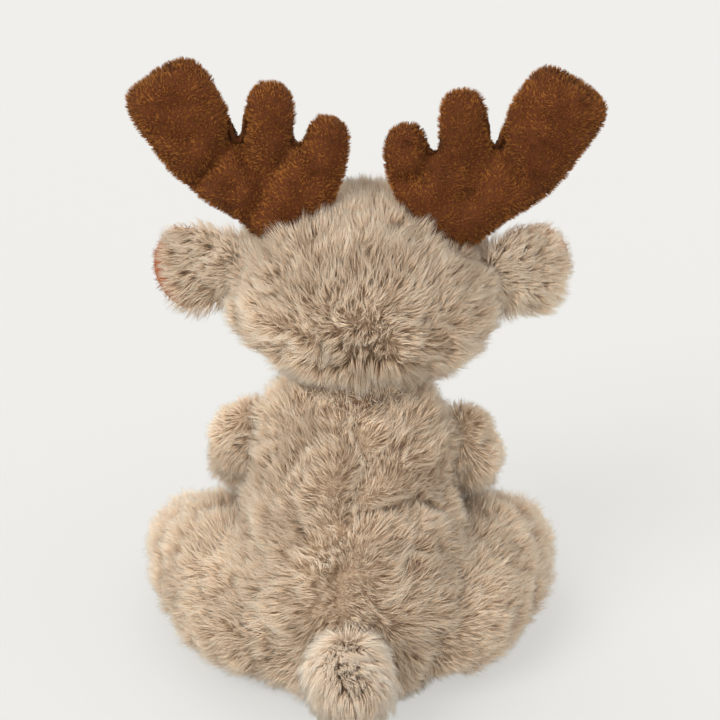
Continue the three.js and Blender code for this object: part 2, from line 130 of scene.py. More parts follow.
def pile_material(name, middle, dark_fibre, light_fibre, roughness, sheen):
    """Fibres coloured from root to tip along v, darker at the root as painted shade over the
    fibre's own tone, and from a darker to a lighter fibre along u.
    """
    dark_fibre, light_fibre = (
        [(place, linear(*colour)) for place, colour in zip((0.0, middle, 1.0), fibre)]
        for fibre in (dark_fibre, light_fibre)
    )
    material, tree, shader = new_material(name, roughness, sheen, light_fibre[-1][1], 0.25)
    place = tree.nodes.new("ShaderNodeUVMap")
    place.uv_map = "OFBake"
    split = tree.nodes.new("ShaderNodeSeparateXYZ")
    tree.links.new(place.outputs["UV"], split.inputs[0])
    dark = ramp_of(tree, dark_fibre, split.outputs["Y"])
    light = ramp_of(tree, light_fibre, split.outputs["Y"])
    tree.links.new(mixed(tree, split.outputs["X"], dark, light), shader.inputs["Base Color"])
    return material


def mottle(tree, shader, scale, low, dark, light):
    """Colours a shader by a fine noise over the piece, from dark to light, and gives the noise."""
    place = tree.nodes.new("ShaderNodeTexCoord")
    noise = tree.nodes.new("ShaderNodeTexNoise")
    noise.inputs["Scale"].default_value = scale
    tree.links.new(place.outputs["Object"], noise.inputs["Vector"])
    colour = ramp_of(tree, [(low, dark), (1 - low, light)], noise.outputs["Fac"])
    tree.links.new(colour, shader.inputs["Base Color"])
    return noise


def cloth_material(name, dark, light, grain, roughness, sheen, bump):
    """Cloth or fibre. The grain and the bump are sizes."""
    light = linear(*light)
    material, tree, shader = new_material(name, roughness, sheen, light, 0.25)
    noise = mottle(tree, shader, 1 / (grain * MM), 0.3, linear(*dark), light)
    noise.inputs["Detail"].default_value = 6
    noise.inputs["Roughness"].default_value = 0.7
    relief = tree.nodes.new("ShaderNodeBump")
    relief.inputs["Strength"].default_value = 0.6
    relief.inputs["Distance"].default_value = bump * MM
    tree.links.new(noise.outputs["Fac"], relief.inputs["Height"])
    tree.links.new(relief.outputs["Normal"], shader.inputs["Normal"])
    return material


# Each pile's fibres darken towards the root: the fibre's own tone and painted shade where the pile
# shadows itself
beige_pile = pile_material(
    "beige_pile", 0.5, [(112, 84, 58), (148, 117, 86), (178, 147, 114)],
    [(206, 173, 138), (250, 222, 189), (255, 249, 231)], 0.75, 0.15,
)
pale_pile = pile_material(
    "pale_pile", 0.5, [(150, 119, 90), (194, 163, 131), (226, 198, 167)],
    [(214, 184, 152), (253, 230, 202), (255, 252, 238)], 0.75, 0.15,
)
brown_pile = pile_material(
    "brown_pile", 0.6, [(40, 17, 3), (66, 32, 6), (90, 47, 10)],
    [(88, 45, 12), (158, 96, 36), (222, 154, 80)], 0.8, 0.0,
)
rust_pile = pile_material(
    "rust_pile", 0.6, [(112, 58, 32), (160, 94, 58), (186, 118, 80)],
    [(132, 72, 42), (186, 118, 78), (218, 156, 116)], 0.7, 0.2,
)
beige_backing = cloth_material(
    "beige_backing", (152, 127, 102), (192, 167, 140), 1.6, 0.9, 0.1, 0.8)
# The neck's backing is darker than the other backing: painted shade in the gap under the head
neck_painted_shade_backing = cloth_material("neck_painted_shade_backing", (112, 88, 66), (156, 128, 102), 1.6, 0.9, 0.1, 0.8)
brown_backing = cloth_material("brown_backing", (68, 31, 8), (104, 54, 18), 0.9, 0.9, 0.0, 0.4)
rust_backing = cloth_material("rust_backing", (130, 70, 40), (176, 106, 68), 0.9, 0.9, 0.2, 0.4)
stuffing_fibre = cloth_material(
    "stuffing_fibre", (214, 210, 202), (246, 244, 240), 2.5, 0.95, 0.2, 1.0)
pellet_pouch = cloth_material("pellet_pouch", (188, 180, 164), (222, 216, 202), 3.0, 0.9, 0.1, 1.2)
thread = cloth_material("thread", (58, 30, 16), (96, 54, 30), 0.5, 0.6, 0.2, 0.2)


PLASTIC_GRAIN_SCALE = 260


def plastic_material(name, colour, deep, roughness):
    """Moulded plastic with a faint unevenness of its colour."""
    material, tree, shader = new_material(name, roughness, specular=0.25)
    mottle(tree, shader, PLASTIC_GRAIN_SCALE, 0.35, linear(*deep), linear(*colour))
    return material


eye_plastic = plastic_material("eye_plastic", (22, 12, 7), (10, 6, 4), 0.08)
washer_plastic = plastic_material("washer_plastic", (232, 228, 220), (218, 214, 206), 0.45)


# Forms: the same paths, spans and bluntness as the CAD solids
TINY = 1e-4
SMALL_STEP = 0.01


def tangent(a, b, c, first, second):
    """The way along a path at b, between a and c, from the two spans."""
    return (b - a) / first - (c - a) / (first + second) + (c - b) / second


def smooth_path(points, samples=240):
    """A smooth curve through a few points, by cubic spans that don't overshoot."""
    points = np.asarray(points, float)
    ends = np.vstack([2 * points[0] - points[1], points, 2 * points[-1] - points[-2]])
    spans = len(points) - 1
    t = np.linspace(0, 1, samples // spans, endpoint=False)[:, None]
    pieces = []
    for i in range(spans):
        before, start, stop, after = ends[i:i + 4]
        span = np.linalg.norm(stop - start) ** 0.5
        span_before = np.linalg.norm(start - before) ** 0.5
        span_after = np.linalg.norm(after - stop) ** 0.5
        span = 1.0 if span < TINY else span
        span_before = span if span_before < TINY else span_before
        span_after = span if span_after < TINY else span_after
        leave = span * tangent(before, start, stop, span_before, span)
        arrive = span * tangent(start, stop, after, span, span_after)
        pieces.append(
            (2 * t ** 3 - 3 * t ** 2 + 1) * start + (t ** 3 - 2 * t ** 2 + t) * leave
            + (3 * t ** 2 - 2 * t ** 3) * stop + (t ** 3 - t ** 2) * arrive
        )
    return np.vstack(pieces + [points[-1:]])


def unit(vectors):
    return vectors / np.maximum(np.linalg.norm(vectors, axis=-1, keepdims=True), 1e-9)


def dot(a, b):
    return (a * b).sum(-1, keepdims=True)


class Form:
    """A stuffed form: oval rings along a curved path, closed at both ends.

    The spans are its widths and thicknesses along the path, across is the way of its width, and a
    larger puff makes its ends blunter. A cheek makes it wider below than above.
    """

    def __init__(self, path, spans, across, puff, cheek=0.0):
        self.centre = smooth_path(path)
        self.half = smooth_path([(wide / 2, thick / 2, 0) for wide, thick in spans])
        self.heading = unit(np.gradient(self.centre, axis=0))
        self.wide = unit(across - self.heading * dot(self.heading, across))
        self.thick = np.cross(self.heading, self.wide)
        self.puff = puff
        self.cheek = cheek

    def at(self, u, angle, grow=0.0):
        """The point at a station from -1 to 1 and an angle round it, off the form by grow."""
        u = np.asarray(u, float)
        angle = np.asarray(angle, float)
        last = len(self.centre) - 1
        station = (u + 1) / 2 * last
        low = np.clip(np.floor(station).astype(int), 0, last - 1)
        share = (station - low)[..., None]

        def along(table):
            return table[low] * (1 - share) + table[low + 1] * share
        half = along(self.half)
        full = np.maximum(0, 1 - np.abs(u) ** self.puff) ** (1 / self.puff)
        wide = (half[..., 0] + grow) * full * np.cos(angle) * (1 - self.cheek * np.sin(angle))
        thick = (half[..., 1] + grow) * full * np.sin(angle)
        return (along(self.centre) + along(self.heading) * (grow * u)[..., None]
                + along(self.wide) * wide[..., None] + along(self.thick) * thick[..., None])

    def outward(self, u, angle):
        along = self.at(u + SMALL_STEP, angle) - self.at(u - SMALL_STEP, angle)
        around = self.at(u, angle + SMALL_STEP) - self.at(u, angle - SMALL_STEP)
        return unit(np.cross(around, along))

    def under(self, u, angle, depth):
        return self.at(u, angle) - self.outward(u, angle) * depth


# Torso sizes
FLOOR_PRESS = 2.5
TORSO_HEIGHT = 131
SIDE_LEAN = 3.5
FORWARD_LEAN = 14
SEAT_SPAN = (108, 112)
WAIST_SPAN = (90, 100)
CHEST_SPAN = (85, 78)
SHOULDER_SPAN = (90, 62)
TORSO_LEAN_SHARES = [0, 0.02, 0.2, 0.6, 1]
torso_form = Form(
    [(-SIDE_LEAN * lean, -FORWARD_LEAN * lean, (TORSO_HEIGHT + FLOOR_PRESS) * i / 4 - FLOOR_PRESS)
     for i, lean in enumerate(TORSO_LEAN_SHARES)],
    [SEAT_SPAN, SEAT_SPAN, WAIST_SPAN, CHEST_SPAN, SHOULDER_SPAN], ALONG_X, 3,
)


def torso_level(height):
    """The torso's station, from -1 to 1, at a height."""
    return 2 * (height + FLOOR_PRESS) / (TORSO_HEIGHT + FLOOR_PRESS) - 1


# Head sizes
NECK_DROP = 5
NECK_RADIUS = 23.5
NECK = np.array([-SIDE_LEAN, -FORWARD_LEAN, TORSO_HEIGHT - NECK_DROP])
HEAD_ROLL = math.radians(-3)
HEAD_SIDEWAYS = np.array([math.cos(HEAD_ROLL), 0, -math.sin(HEAD_ROLL)])
HEAD_UPWARDS = np.array([math.sin(HEAD_ROLL), 0, math.cos(HEAD_ROLL)])
HEAD_LENGTH = 98
HEAD_SPAN = (107, 75)
HEAD_FORWARD = 10
HEAD_BACK = HEAD_LENGTH / 2 - HEAD_FORWARD
FACE_FRONT = HEAD_BACK - HEAD_LENGTH
HEAD_LIFT = 32
NAPE_DROP = 2
MUZZLE_LENGTH = 29
MUZZLE_SPAN = (54, 43)
MUZZLE_DROP = 10
NOSE_DEPTH = 12
NOSE_SPAN = (22, 14)
NOSE_SEAT_SHARE = 0.9
NOSE_SINK_SHARE = 0.2


def in_head(x, y, z):
    """A place from the neck's middle, in the way that the head leans."""
    return NECK + HEAD_SIDEWAYS * x + ALONG_Y * y + HEAD_UPWARDS * z


head_form = Form(
    [in_head(0, HEAD_BACK, HEAD_LIFT - NAPE_DROP), in_head(0, -HEAD_FORWARD, HEAD_LIFT),
     in_head(0, FACE_FRONT, HEAD_LIFT)],
    [HEAD_SPAN] * 3, HEAD_SIDEWAYS, 2.4, 0.1,
)
muzzle_form = Form(
    [in_head(0, FACE_FRONT - MUZZLE_LENGTH * share, HEAD_LIFT - MUZZLE_DROP)
     for share in (-0.5, 0, 0.55, 1)],
    [MUZZLE_SPAN] * 4, HEAD_SIDEWAYS, 2.5,
)
nose_centre = muzzle_form.under(NOSE_SEAT_SHARE, math.pi / 2, NOSE_DEPTH * NOSE_SINK_SHARE)
nose_form = Form(
    [nose_centre + ALONG_Y * NOSE_DEPTH * share for share in (0.5, 0, -0.5)], [NOSE_SPAN] * 3,
    HEAD_SIDEWAYS, 2.2,
)


def side_angle(side, degrees):
    """The angle round a form, so many degrees up or back from its left side or its right side."""
    return math.radians(degrees) if side > 0 else math.pi - math.radians(degrees)


EAR_LENGTH = 37.5
EAR_SEAT_DEGREES = 12
EAR_ROOT_INSET = 3


def ear_root(side):
    return head_form.under(0, side_angle(side, EAR_SEAT_DEGREES), EAR_ROOT_INSET)


def ear_leaf(side, tilt, shift, width, thickness, start=-0.3, stop=1.0, drop=0.0):
    """An ear's leaf from start to stop along its length, shifted forward and dropped."""
    tilt = math.radians(tilt)
    reach = HEAD_SIDEWAYS * side * math.cos(tilt) + HEAD_UPWARDS * math.sin(tilt)
    root = ear_root(side) + reach * drop - ALONG_Z * drop
    return Form(
        [root + reach * EAR_LENGTH * out - ALONG_Y * (EAR_LENGTH * front + shift)
         for out, front in ((start, 0), (0.3, 0.02), (0.6, 0.06), (stop, 0.16))],
        [(width * share, thickness) for share in (0.95, 0.95, 1, 0.86)], HEAD_UPWARDS, 2.3,
    )


ANTLER_SPREAD = 60
ANTLER_HEIGHT = 66
ANTLER_THICKNESS = 22
TINE_THICKNESS = 17
ANTLER_SEAT_DEGREES = 49
ANTLER_SEAT_SHARE = -0.08
ANTLER_ROOT_INSET = 3
ANTLER_TURNS = {"left": 0, "right": 6}
# Each lobe: its path, in shares of the spread and the height, its widths, thickness and puff
ANTLER_LOBES = [
    ([(-0.07, -0.06), (0.24, 0.16), (0.53, 0.39), (0.72, 0.67), (0.89, 0.89)],
     [0.38, 0.38, 0.5, 0.6, 0.62], ANTLER_THICKNESS, 6.0),
    ([(0.03, -0.15), (0.01, 0.2), (0.03, 0.52)], [0.5, 0.66, 0.62], ANTLER_THICKNESS, 2.6),
    ([(0.14, 0.22), (0.15, 0.56), (0.14, 0.88)], [0.38, 0.36, 0.33], TINE_THICKNESS, 3.6),
    ([(-0.12, 0.11), (-0.21, 0.4), (-0.24, 0.69)], [0.33, 0.33, 0.31], TINE_THICKNESS, 3.4),
]
# Each crease: its line, in the same shares, its reach and its depth
ANTLER_CREASES = {
    "left": [
        ([(0.33, 0.66), (0.38, 0.54), (0.46, 0.42), (0.6, 0.26)], 3.4, 5.0),
        ([(-0.08, 0.6), (0.06, 0.4), (0.16, 0.24), (0.24, 0.04)], 3.6, 3.6),
        ([(0.33, 0.62), (0.3, 0.46), (0.18, 0.34)], 3.0, 2.6),
    ],
    "right": [
        ([(0.33, 0.68), (0.4, 0.5), (0.46, 0.42), (0.5, 0.34)], 3.4, 5.0),
        ([(-0.05, 0.6), (-0.1, 0.44), (-0.17, 0.37), (-0.27, 0.36)], 3.0, 3.8),
        ([(0.22, 0.48), (0.12, 0.2)], 4.5, 1.6),
    ],
}


def antler_frame(side, turn):
    """An antler's root, and the ways out and up from it."""
    turn = math.radians(turn)
    seat = side_angle(side, ANTLER_SEAT_DEGREES)
    root = head_form.under(ANTLER_SEAT_SHARE, seat, ANTLER_ROOT_INSET)
    outwards = HEAD_SIDEWAYS * side
    out = outwards * math.cos(turn) + HEAD_UPWARDS * math.sin(turn)
    up = HEAD_UPWARDS * math.cos(turn) - outwards * math.sin(turn)
    return root, out, up


# Limbs and tail: their paths are shares of their lengths, out, forward and up from the root
SHOULDER_HEIGHT = 101
SHOULDER_DEGREES = -14
SHOULDER_INSET = 4
ARM_LENGTH = 76
ARM_WIDTHS = [29, 29, 32, 31]
ARM_REACH_SHARES = [
    (-0.03, 0.03, 0.06), (0.12, -0.1, -0.09), (0.1, -0.42, -0.34), (0.03, -0.8, -0.5),
]
HIP_HEIGHT = 27
HIP_DEGREES = -10
HIP_INSET = 6.5
LEG_LENGTH = 104
LEG_SPANS = [(54, 52), (58, 62), (58, 62), (50, 50), (43, 45)]
LEG_REACH_SHARES = [(-0.12, 0.42), (-0.02, 0.12), (0.08, -0.2), (0.19, -0.5), (0.27, -0.78)]
LIMB_PUFF = 2.6
TAIL_ROOT_HEIGHT = 30
TAIL_INSET = 3
TAIL_LENGTH = 40
TAIL_WIDTH = 36


def arm_form(side):
    seat = side_angle(side, SHOULDER_DEGREES)
    root = torso_form.under(torso_level(SHOULDER_HEIGHT), seat, SHOULDER_INSET)
    return Form(
        [root + ARM_LENGTH * np.array([side * out, front, up])
         for out, front, up in ARM_REACH_SHARES],
        [(width, width) for width in ARM_WIDTHS], ALONG_X, LIMB_PUFF,
    )


def leg_form(side):
    root = torso_form.under(torso_level(HIP_HEIGHT), side_angle(side, HIP_DEGREES), HIP_INSET)
    return Form(
        [(root[0] + side * LEG_LENGTH * out, root[1] + LEG_LENGTH * front,
          high / 2 - FLOOR_PRESS) for (out, front), (_, high) in zip(LEG_REACH_SHARES, LEG_SPANS)],
        LEG_SPANS, ALONG_X, LIMB_PUFF,
    )


tail_root = torso_form.under(torso_level(TAIL_ROOT_HEIGHT), math.pi / 2, TAIL_INSET)
tail_form = Form(
    [tail_root - ALONG_Y * TAIL_INSET, tail_root + ALONG_Y * TAIL_LENGTH * 0.4,
     tail_root + ALONG_Y * TAIL_LENGTH + ALONG_Z * TAIL_LENGTH * 0.1],
    [(TAIL_WIDTH * share, TAIL_WIDTH * share) for share in (0.8, 1, 0.9)], ALONG_X, 2.2,
)


# Skins: the backing cloth of each stuffed piece, drawn over its form
def object_of(mesh, name, material):
    mesh.materials.append(material)
    return added(name, mesh)


def ball(around, along, radius=1):
    """A sphere whose faces are in the same order each run, as the scatter of the fibres needs."""
    made = bmesh.new()
    bmesh.ops.create_uvsphere(made, u_segments=around, v_segments=along, radius=radius)
    made.verts.index_update()
    rings = []
    for face in made.faces:
        ring = [vert.index for vert in face.verts]
        start = ring.index(min(ring))
        rings.append(ring[start:] + ring[:start])
    bm = bmesh.new()
    verts = [bm.verts.new(vert.co) for vert in made.verts]
    for ring in sorted(rings):
        bm.faces.new([verts[i] for i in ring])
    made.free()
    bm.normal_update()
    return bm


def formed(form, depth, grid, *changes):
    """A sphere of cloth, each point moved to its place on the form and then by each change."""
    bm = ball(*grid)
    places = np.array([v.co[:] for v in bm.verts])
    u = np.clip(places[:, 2], -1, 1)
    angle = np.arctan2(places[:, 1], places[:, 0])
    for vert, place in zip(bm.verts, form.at(u, angle, -depth)):
        vert.co = place
    if bm.calc_volume(signed=True) < 0:
        bmesh.ops.reverse_faces(bm, faces=bm.faces)
    bm.normal_update()
    for change in changes:
        reshape(bm, change)
    return bm


def reshape(bm, change):
    places = np.array([v.co[:] for v in bm.verts])
    normals = np.array([v.normal[:] for v in bm.verts])
    for vert, place in zip(bm.verts, change(places, normals)):
        vert.co = place
    bm.normal_update()


def mesh_of(bm, name):
    mesh = bpy.data.meshes.new(name)
    bm.to_mesh(mesh)
    bm.free()
    return mesh


def finished(bm, name, material):
    bmesh.ops.scale(bm, vec=(MM,) * 3, verts=bm.verts)
    mesh = mesh_of(bm, name)
    mesh.shade_smooth()
    return object_of(mesh, name, material)


class Skin:
    """The places, outward ways and triangles of a finished skin, in millimetres."""

    def __init__(self, mesh, body, slot):
        self.body = body
        self.slot = slot

        def of_points(what):
            values = np.empty(len(mesh.vertices) * 3)
            mesh.vertices.foreach_get(what, values)
            return values.reshape(-1, 3)
        self.places = of_points("co") / MM
        self.normals = of_points("normal")
        mesh.calc_loop_triangles()
        corners = np.empty(len(mesh.loop_triangles) * 3, int)
        mesh.loop_triangles.foreach_get("vertices", corners)
        self.triangles = corners.reshape(-1, 3)
        self.tree = BVHTree.FromPolygons(self.places.tolist(), self.triangles.tolist())

    def scattered(self, count, rng):
        a, b, c = (self.places[self.triangles[:, i]] for i in range(3))
        areas = np.linalg.norm(np.cross(b - a, c - a), axis=1)
        chosen = rng.choice(len(areas), size=count, p=areas / areas.sum())
        first = np.sqrt(rng.random(count))[:, None]
        second = rng.random(count)[:, None]
        weights = (1 - first, first * (1 - second), first * second)
        corners = self.triangles[chosen]
        places = sum(w * self.places[corners[:, i]] for i, w in enumerate(weights))
        normals = unit(sum(w * self.normals[corners[:, i]] for i, w in enumerate(weights)))
        return places, normals

    def depth_of(self, places):
        """How far each place is inside this skin, negative outside it."""
        depths = np.empty(len(places))
        for i, place in enumerate(places):
            found, normal, _, distance = self.tree.find_nearest(Vector(place))
            inside = (Vector(place) - found).dot(normal) < 0
            depths[i] = distance if inside else -distance
        return depths


def covering(bm, name, material, body, slot, nodes):
    """The skin of a padded piece that rides on a body, in the place of CAD nodes."""
    piece = finished(bm, name, material)
    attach(piece, body)
    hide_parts(*nodes)
    return Skin(piece.data, body, slot)


# Pile: closed three-sided fibres, gathered into locks that lie along the cloth's nap
WAVE_COUNT = 9
WAVE_RATES = (0.6, 1.5)
CELL_LIMIT = 4096


def wander(places, size, seed):
    """A smooth random value that changes over the given size."""
    rng = np.random.default_rng(seed)
    ways = unit(rng.normal(size=(WAVE_COUNT, 3))) * rng.uniform(*WAVE_RATES, (WAVE_COUNT, 1))
    turns = places @ (ways * (2 * math.pi / size)).T + rng.uniform(0, 2 * math.pi, WAVE_COUNT)
    return np.sin(turns).sum(1) / math.sqrt(WAVE_COUNT)


def waves(places, parts, seed, start=0):
    """Smooth random values added up. Each part is an amount and the size that it changes over."""
    return sum((amount * wander(places, size, seed + i) for i, (amount, size) in enumerate(parts)),
               start)


def locks_of(places, spacing, rng):
    """For each fibre, the fibre in the middle of its lock."""
    low, high = places.min(0), places.max(0)
    keys = np.floor((places - low) / spacing).astype(int)
    flat = (keys[:, 0] * CELL_LIMIT + keys[:, 1]) * CELL_LIMIT + keys[:, 2]
    order = rng.permutation(len(places))
    _, first = np.unique(flat[order], return_index=True)
    middles = order[first]
    tree = KDTree(len(middles))
    for i, index in enumerate(middles):
        tree.insert(Vector(places[index]), i)
    tree.balance()
    return middles[np.array([tree.find(Vector(place))[1] for place in places])]


# How a cloth's fibres grow. They lean by rise below their bend and by lay above it, in degrees.
# The lock is a size, and pull draws its tips together. Ruffle turns whole areas, and spread turns
# each lock. Bent is the share of fibres with a bend, and mottle is how far their tones vary
Nap = namedtuple("Nap", "length width rise lay lock pull ruffle spread bent mottle")
LONG_NAP = Nap(length=11, width=0.22, rise=24, lay=67, lock=1.7, pull=0.17, ruffle=0.42,
               spread=0.17, bent=0.4, mottle=0.045)
TAIL_NAP = Nap(length=13.5, width=0.24, rise=24, lay=68, lock=2.4, pull=0.28, ruffle=0.45,
               spread=0.2, bent=0.65, mottle=0.07)
EAR_NAP = Nap(length=9, width=0.24, rise=35, lay=68, lock=1.8, pull=0.2, ruffle=0.4,
              spread=0.17, bent=0.4, mottle=0.06)
SHORT_NAP = Nap(length=4.2, width=0.24, rise=35, lay=62, lock=1.2, pull=0.3, ruffle=0.4,
                spread=0.25, bent=0.0, mottle=0.1)
VELVET_NAP = Nap(length=3.2, width=0.24, rise=30, lay=52, lock=1.0, pull=0.45, ruffle=0.7,
                 spread=0.4, bent=0.0, mottle=0.3)
ANTLER_NAP = Nap(length=2.4, width=0.38, rise=30, lay=56, lock=1.2, pull=0.45, ruffle=0.9,
                 spread=0.4, bent=0.0, mottle=0.34)


# How far fibres stray: turns and leans in radians, tones from 0 to 1, waves as amount and size
CLUMP_LOCKS = 2.7
WAY_GAIN = 1.25
LEAST_STRENGTH = 0.15
TURN_WAVES = ((0.7, 26), (0.5, 8))
FIBRE_TURN = 0.15
LOOSE_TURN = 1.2
TIP_SPREAD = 1.2
TIP_TURN = 0.1
LEAN_WAVE = (0.28, 12)
MESSY_LEAN = 0.2
LOCK_LEAN = 0.09
FIBRE_LEAN = 0.06
RISE_LIMITS = (0.05, 1.4)
LAY_LIMITS = (0.1, 1.5)
LENGTH_WAVES = ((0.1, 7),)
FIBRE_LENGTHS = (0.78, 1.08)
ROOT_SINK = 0.6
TONE_MIDDLE = 0.7
TONE_WAVES = ((0.12, 34), (0.09, 12))
FIBRE_TONE = 0.6
LOCK_TONE = 1.4
TONE_LIMITS = (0.02, 0.97)
CLUMP_PULL = 0.6
MESSY_PULL = 0.4
BEND_PULL = 0.35


def strand_lines(places, normals, way, nap, length, mess, rng, seed):
    """The root, bend, tip and tone of each fibre. Where mess is 1, locks are large and wayward."""
    way = way - normals * dot(way, normals)
    strength = np.clip(WAY_GAIN * np.linalg.norm(way, axis=1, keepdims=True), LEAST_STRENGTH, 1)
    way = unit(way)
    count = len(places)
    locks = locks_of(places, nap.lock, rng)
    clumps = locks_of(places, nap.lock * CLUMP_LOCKS, rng)

    def shared(by_lock, by_fibre):
        return rng.normal(0, by_lock, count)[locks] + rng.normal(0, by_fibre, count)
    turn = nap.ruffle * waves(places, TURN_WAVES, seed + 1)
    turn = (turn * (1 + mess) + shared(nap.spread, FIBRE_TURN))[:, None]
    turn = turn * (1 + LOOSE_TURN - LOOSE_TURN * strength)
    side = np.cross(normals, way)
    low_way = way * np.cos(turn) + side * np.sin(turn)
    turn = turn + shared(nap.spread * TIP_SPREAD, TIP_TURN)[:, None]
    high_way = way * np.cos(turn) + side * np.sin(turn)
    amount, size = LEAN_WAVE
    lean = (wander(places, size, seed + 3) * (amount + MESSY_LEAN * mess)
            + shared(LOCK_LEAN, FIBRE_LEAN))[:, None]
    low_lean = np.clip(math.radians(nap.rise) * strength + lean, *RISE_LIMITS)
    high_lean = np.clip(math.radians(nap.lay) * strength + lean, *LAY_LIMITS)
    size = nap.length * length * waves(places, LENGTH_WAVES, seed + 4, 1)
    half = (size * rng.uniform(*FIBRE_LENGTHS, count))[:, None] / 2
    roots = places - normals * ROOT_SINK
    bends = places + half * (normals * np.cos(low_lean) + low_way * np.sin(low_lean))
    tips = bends + half * (normals * np.cos(high_lean) + high_way * np.sin(high_lean))
    tone = (waves(places, TONE_WAVES, seed + 5, TONE_MIDDLE)
            + rng.normal(0, FIBRE_TONE * nap.mottle, count))
    for middle, pull in ((locks, nap.pull), (clumps, nap.pull * CLUMP_PULL + MESSY_PULL * mess)):
        tone = tone + LOCK_TONE * nap.mottle * (rng.random(count)[middle] - 0.5)
        pull = np.broadcast_to(pull, count)[:, None]
        bends = bends + pull * BEND_PULL * (bends[middle] - bends)
        tips = tips + pull * (tips[middle] - tips)
    return roots, bends, tips, np.clip(tone, *TONE_LIMITS)


def rings(centres, heading, radius, rng):
    """Three corners round each centre, square to its heading."""
    first = unit(np.cross(heading, rng.normal(size=heading.shape)))
    second = np.cross(heading, first)
    angles = np.arange(3) * 2 * math.pi / 3
    return np.stack(
        [centres + radius * (first * math.cos(a) + second * math.sin(a)) for a in angles], 1)


STRAIGHT_FACES = [(0, 1, 3), (1, 2, 3), (2, 0, 3), (0, 2, 1)]
BENT_FACES = [(0, 1, 4), (1, 2, 4), (2, 0, 4), (1, 0, 3), (2, 1, 3), (0, 2, 3)]
RING_TONES = [0.0, 0.004, 0.008, 0.004, 0.004]
PILE_LIFT = 0.15


def strand_mesh(name, corners, faces, rows, tone, material):
    """One mesh of many fibres.

    The corners are fibres by points by 3, and rows is each point's share of the length.
    """
    count, points, _ = corners.shape
    corners[..., 2] = np.maximum(corners[..., 2], PILE_LIFT)
    faces = np.array(faces)
    loops = (np.arange(count)[:, None, None] * points + faces[None]).reshape(-1)
    mesh = bpy.data.meshes.new(name)
    mesh.vertices.add(count * points)
    mesh.vertices.foreach_set("co", (corners * MM).astype(np.float32).ravel())
    mesh.loops.add(len(loops))
    mesh.loops.foreach_set("vertex_index", loops.astype(np.int32))
    mesh.polygons.add(len(loops) // 3)
    mesh.polygons.foreach_set("loop_start", np.arange(0, len(loops), 3, dtype=np.int32))
    mesh.update(calc_edges=True)
    mesh.polygons.foreach_set("use_smooth", np.ones(len(loops) // 3, bool))
    u = tone[:, None] + np.array(RING_TONES[:points])
    v = np.broadcast_to(np.array(rows)[None], u.shape)
    uv = np.stack([u, v], -1).reshape(-1, 2)[loops]
    layer = mesh.uv_layers.new(name="OFBake")
    layer.data.foreach_set("uv", uv.astype(np.float32).ravel())
    return object_of(mesh, name, material)


PIECE_TRIANGLES = 190000
SAT_ON_FACING = -0.8
SAT_ON_HEIGHT = 5
SAT_ON_SHARE = 0.75
SHADED_LIMITS = (0.01, 0.97)
FIBRE_WIDTHS = (0.75, 1.2)
STRAIGHT_LENGTH = 0.94
STRAIGHT_TIP_ROW = 0.92


def grow_pile(name, skin, nap, way, material, seed, count,
              keep=None, length=None, shade=None, mess=None):
    """Covers a skin in fibres, as one or more pieces that ride on the skin's body."""
    rng = np.random.default_rng(seed)
    places, normals = skin.scattered(count, rng)
    sat_on = ((normals[:, 2] < SAT_ON_FACING) & (places[:, 2] < SAT_ON_HEIGHT)
              & (rng.random(count) < SAT_ON_SHARE))
    places, normals = places[~sat_on], normals[~sat_on]
    if keep is not None:
        kept = keep(places, normals)
        places, normals = places[kept], normals[kept]
    sizes = np.ones(len(places)) if length is None else length(places, normals)
    wayward = np.zeros(len(places)) if mess is None else mess(places)
    roots, bends, tips, tone = strand_lines(
        places, normals, way(places, normals), nap, sizes, wayward, rng, seed)
    # The shade moves each fibre's tone: painted shade and painted light on the torso, neck, limbs
    # and ears, and the darker seam round the antlers
    if shade is not None:
        tone = np.clip(tone + shade(places, normals), *SHADED_LIMITS)
    radius = (nap.width / 2 * rng.uniform(*FIBRE_WIDTHS, len(places)))[:, None]
    bent = rng.random(len(places)) < nap.bent
    for kind, chosen in (("lock", bent), ("under", ~bent)):
        index = np.flatnonzero(chosen)
        faces = BENT_FACES if kind == "lock" else STRAIGHT_FACES
        batch = PIECE_TRIANGLES // len(faces)
        parts = math.ceil(len(index) / batch)
        for part, some in enumerate(np.array_split(index, parts) if parts else []):
            root, bend, tip = roots[some], bends[some], tips[some]
            if kind == "lock":
                middle = rings(bend, unit(tip - root), radius[some], rng)
                corners = np.concatenate([middle, root[:, None], tip[:, None]], 1)
                rows = [0.5, 0.5, 0.5, 0, 1]
            else:
                base = rings(root, unit(tip - root), radius[some], rng)
                top = root + (tip - root) * STRAIGHT_LENGTH
                corners = np.concatenate([base, top[:, None]], 1)
                rows = [0, 0, 0, STRAIGHT_TIP_ROW]
            piece = strand_mesh(f"{name}_{kind}_{part + 1}", corners, faces, rows, tone[some],
                                material)
            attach(piece, skin.body)


def smooth_share(value, low, high):
    t = np.clip((value - low) / (high - low), 0, 1)
    return t * t * (3 - 2 * t)


def from_line(places, line):
    """The way to each place from the nearest point of a line of points, and its length."""
    line = np.asarray(line, float)
    nearest = np.full((len(places), 1), np.inf)
    ways = np.zeros_like(places)
    for start, stop in zip(line[:-1], line[1:]):
        along = stop - start
        share = np.clip(((places - start) @ along) / (along @ along), 0, 1)[:, None]
        way = places - start - along * share
        distance = np.linalg.norm(way, axis=1, keepdims=True)
        ways = np.where(distance < nearest, way, ways)
        nearest = np.minimum(nearest, distance)
    return ways, nearest


def along_line(places, line, reach):
    """1 on a line of points, falling to 0 away from it."""
    return np.exp(-(from_line(places, line)[1][:, 0] / reach) ** 2)


